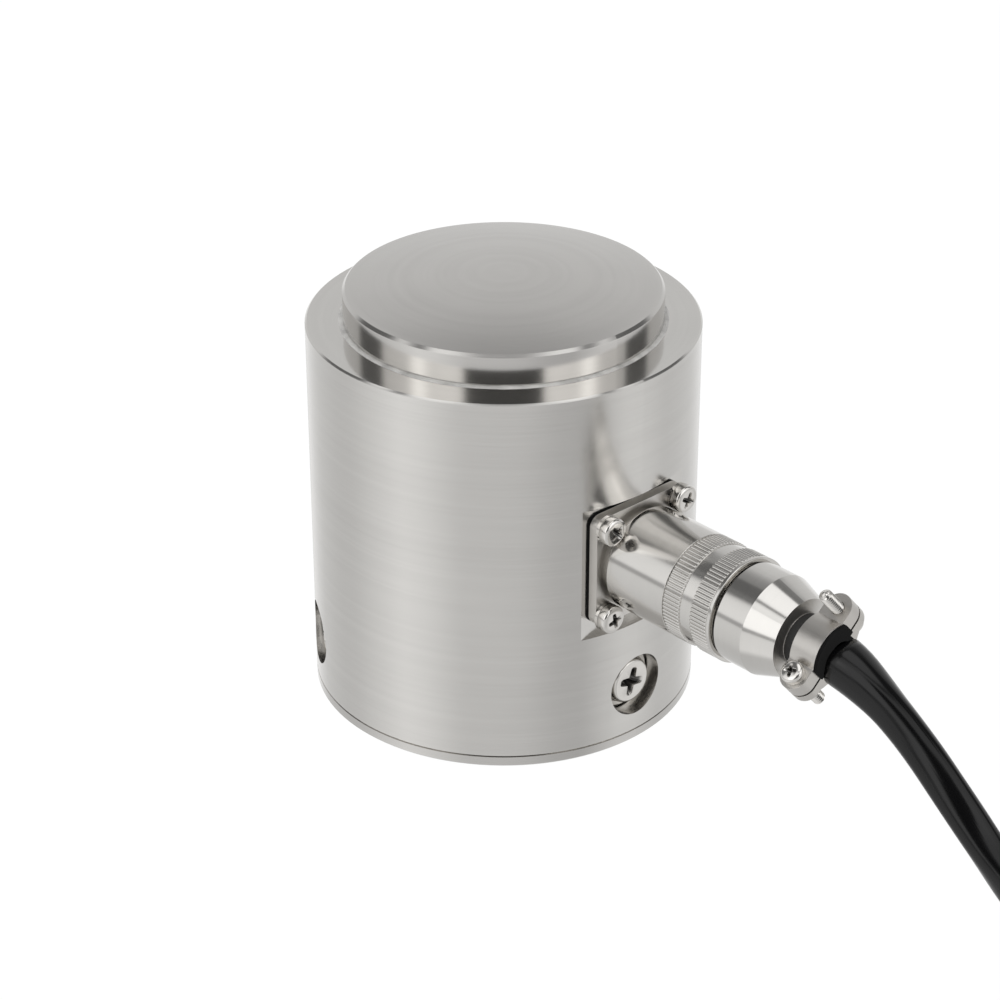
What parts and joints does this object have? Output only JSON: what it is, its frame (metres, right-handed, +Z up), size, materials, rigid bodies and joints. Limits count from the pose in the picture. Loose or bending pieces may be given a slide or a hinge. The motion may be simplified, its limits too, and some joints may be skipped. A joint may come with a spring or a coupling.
{
  "type": "compression load cell",
  "caption": "Cylindrical compression load cell with a domed load button, a screwed-on shell and a plug-in signal cable.",
  "frame": {"origin": "centre of the base's flat underside, on the loading axis", "axes": "+Z up along the loading axis towards the load button, +X out along the connector"},
  "size_m": [0.2528, 0.1362, 0.0872],
  "materials": {
    "cell_steel": "turned, satin",
    "shell_steel": "fine turned, satin",
    "screw_steel": "bright",
    "seal": "translucent grey",
    "black_rubber": "matte",
    "gauge_foil": "amber film with a metal grid",
    "lead_lacquer": "lacquered",
    "board": "solder resist",
    "chip": "satin",
    "spacer_brass": "plain",
    "plated_shell": "satin plated",
    "plated_nut": "bright plated",
    "clamp_metal": "bright plated",
    "insulator": "moulded",
    "contact_gold": "gold plated",
    "core_plastic": "coloured cores",
    "tinned_wire": "tinned",
    "cable_jacket": "satin",
    "tie_plastic": "satin"
  },
  "bodies": {
    "cell": {"elastic_element": "cell_steel", "shell": "shell_steel", "shell_screws": "screw_steel", "top_seal": "seal", "base_o_ring": "black_rubber", "axial_gauges": "gauge_foil", "transverse_gauges": "gauge_foil", "gauge_leads": "lead_lacquer", "bridge_board": "board", "board_standoffs": "spacer_brass", "board_screws": "screw_steel", "trim_resistors": "chip", "signal_wires": "core_plastic", "flange_gasket": "black_rubber", "receptacle_shell": "plated_shell", "receptacle_insulator": "insulator", "contact_pins": "contact_gold", "flange_screws": "screw_steel", "spring_washers": "screw_steel"},
    "plug": {"plug_shell": "plated_shell", "nut_retaining_ring": "screw_steel", "plug_insulator": "insulator", "contact_sockets": "contact_gold", "back_shell": "plated_nut", "plug_wires": "core_plastic", "cable_bush": "black_rubber", "clamp_half_near": "clamp_metal", "clamp_half_far": "clamp_metal", "clamp_screws": "screw_steel", "cable": "cable_jacket", "cable_coil": "cable_jacket", "cable_ties": "tie_plastic", "core_ends": "core_plastic", "core_tips": "tinned_wire"},
    "nut": {"coupling_nut": "plated_nut"}
  },
  "joints": [
    {"name": "plug_withdraw", "type": "slide", "parent": "cell", "child": "plug", "axis": [1, 0, 0], "range_m": [0, 0.008]},
    {"name": "nut_turn", "type": "hinge", "parent": "plug", "child": "nut", "pos_m": [0.05, 0, 0.0413], "axis": [1, 0, 0], "range_deg": [0, 2880]}
  ],
  "couplings": [
    {"joint": "nut_turn", "follows": "plug_withdraw", "rad_per_m": 6283.2}
  ]
}
